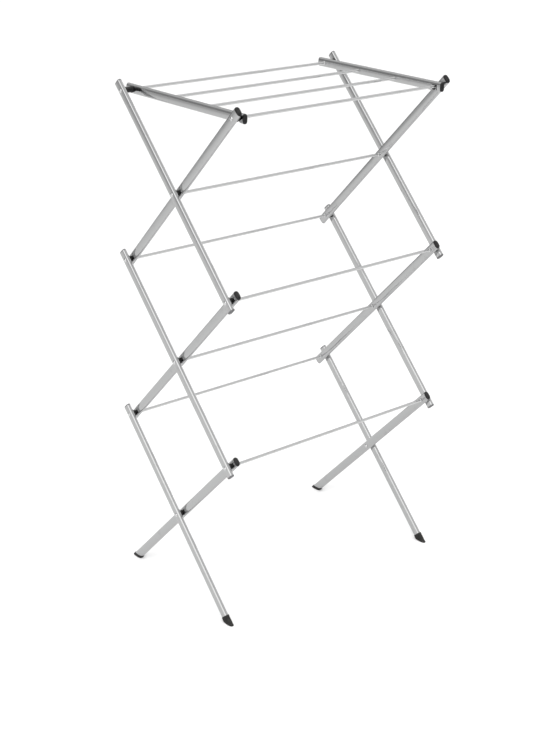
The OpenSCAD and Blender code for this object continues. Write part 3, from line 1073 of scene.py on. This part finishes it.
class RACK_OT_spacers(bpy.types.Operator):
    """Turn the black spacers between the layers of tube and the shelf's bushes"""

    bl_idname = "rack.spacers"
    bl_label = "Spacers and Bushes"

    def execute(self, context):
        sizes = context.scene.rack_sizes
        start, stop = INNER_X + HALF_THICK + sizes.face_gap, OUTER_X - HALF_THICK
        for tier in TIERS:
            build_ring_pair(f"cross_spacers_{tier}", MIDDLE_Y, cross_z(tier), start, stop)
        for row in (2, 3):
            build_ring_pair(f"back_spacers_{row}", BACK_Y, row_z(row), start, stop)
            build_ring_pair(f"front_spacers_{row}", FRONT_Y, row_z(row), start, stop)
        rail_face = RAIL_X + HALF_THICK + sizes.face_gap
        build_ring_pair("top_front_spacers", FRONT_Y, row_z(1), rail_face, INNER_X - HALF_THICK)
        build_ring_pair("shelf_bushes", BACK_Y, row_z(1), rail_face, stop, waist=0.9 * MM)
        return {"FINISHED"}


class RACK_OT_plugs(bpy.types.Operator):
    """Mould the grey plugs in the open tube ends"""

    bl_idname = "rack.plugs"
    bl_label = "End Plugs"

    def execute(self, context):
        sizes = context.scene.rack_sizes
        top = Matrix.Translation((0, 0, TUBE_END))
        bottom = Matrix.Rotation(math.pi, 4, "Y") @ top
        for side_name, side in SIDES.items():
            for tier in TIERS:
                ends = {"top": top} if tier == 3 else {"top": top, "bottom": bottom}
                for end, reach in ends.items():
                    build_plug(sizes, f"outer_plug_{tier}_{side_name}_{end}", f"outer_plugs_{tier}",
                               outer_place(tier, side) @ reach, sizes.plug_head, "grey_plastic")
            for tier in (1, 2):
                build_plug(sizes, f"inner_plug_{tier}_{side_name}", f"inner_plugs_{tier}",
                           inner_place(tier, side) @ bottom, sizes.plug_head, "grey_plastic")
            back = Matrix.Rotation(math.pi, 4, "Y") @ Matrix.Translation((0, 0, RAIL_BACK))
            build_plug(sizes, f"rail_plug_{side_name}", "rail_plugs", rail_place(side) @ back,
                       sizes.plug_head, "grey_plastic")
        return {"FINISHED"}


class RACK_OT_caps(bpy.types.Operator):
    """Mould the black caps on the inner tubes' upper ends"""

    bl_idname = "rack.caps"
    bl_label = "Tube Caps"

    def execute(self, context):
        sizes = context.scene.rack_sizes
        for side_name, side in SIDES.items():
            for tier in TIERS:
                place = inner_place(tier, side) @ Matrix.Translation((0, 0, TUBE_END))
                build_plug(sizes, f"moulded_cap_{tier}_{side_name}", f"tube_cap_{tier}_{side_name}",
                           place, sizes.cap_head, "black_plastic")
        return {"FINISHED"}


class RACK_OT_hooks(bpy.types.Operator):
    """Mould the black hooks on the shelf rails' front ends"""

    bl_idname = "rack.hooks"
    bl_label = "Rail Hooks"

    def execute(self, context):
        sizes = context.scene.rack_sizes
        for side_name, side in SIDES.items():
            build_hook(sizes, f"moulded_hook_{side_name}", f"rail_hook_{side_name}", rail_place(side))
        return {"FINISHED"}


class RACK_OT_feet(bpy.types.Operator):
    """Mould the front boots and the back shoes"""

    bl_idname = "rack.feet"
    bl_label = "Feet"

    def execute(self, context):
        sizes = context.scene.rack_sizes
        for label, side in SIDES.items():
            build_boot(sizes, f"rubber_boot_{label}", f"front_boot_{label}", outer_place(3, side))
            build_shoe(sizes, f"rubber_shoe_{label}", f"back_shoe_{label}", inner_place(3, side))
        return {"FINISHED"}


OPERATORS = (RACK_OT_stage, RACK_OT_tubes, RACK_OT_rods, RACK_OT_rivets, RACK_OT_spacers,
             RACK_OT_plugs, RACK_OT_caps, RACK_OT_hooks, RACK_OT_feet)


class RACK_PT_panel(bpy.types.Panel):
    """The rack's sizes, colours and build steps"""

    bl_idname = "RACK_PT_panel"
    bl_label = "Drying Rack"
    bl_space_type = "VIEW_3D"
    bl_region_type = "UI"
    bl_category = "Drying Rack"

    def draw(self, context):
        for group in (context.scene.rack_sizes, context.scene.rack_colours, context.scene.rack_studio):
            box = self.layout.box()
            for name in group.bl_rna.properties.keys():
                if name not in ("name", "rna_type"):
                    box.prop(group, name)
        for operator in OPERATORS:
            self.layout.operator(operator.bl_idname)


CLASSES = (RackSizes, RackColours, RackStudio, *OPERATORS, RACK_PT_panel)


def register():
    for item in CLASSES:
        bpy.utils.register_class(item)
    bpy.types.Scene.rack_sizes = PointerProperty(type=RackSizes)
    bpy.types.Scene.rack_colours = PointerProperty(type=RackColours)
    bpy.types.Scene.rack_studio = PointerProperty(type=RackStudio)


def unregister():
    del bpy.types.Scene.rack_studio
    del bpy.types.Scene.rack_colours
    del bpy.types.Scene.rack_sizes
    for item in reversed(CLASSES):
        bpy.utils.unregister_class(item)


def main():
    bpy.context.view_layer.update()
    register()
    bpy.ops.rack.stage()
    bpy.ops.rack.tubes()
    bpy.ops.rack.rods()
    bpy.ops.rack.rivets()
    bpy.ops.rack.spacers()
    bpy.ops.rack.plugs()
    bpy.ops.rack.caps()
    bpy.ops.rack.hooks()
    bpy.ops.rack.feet()


if __name__ == "__main__":
    main()
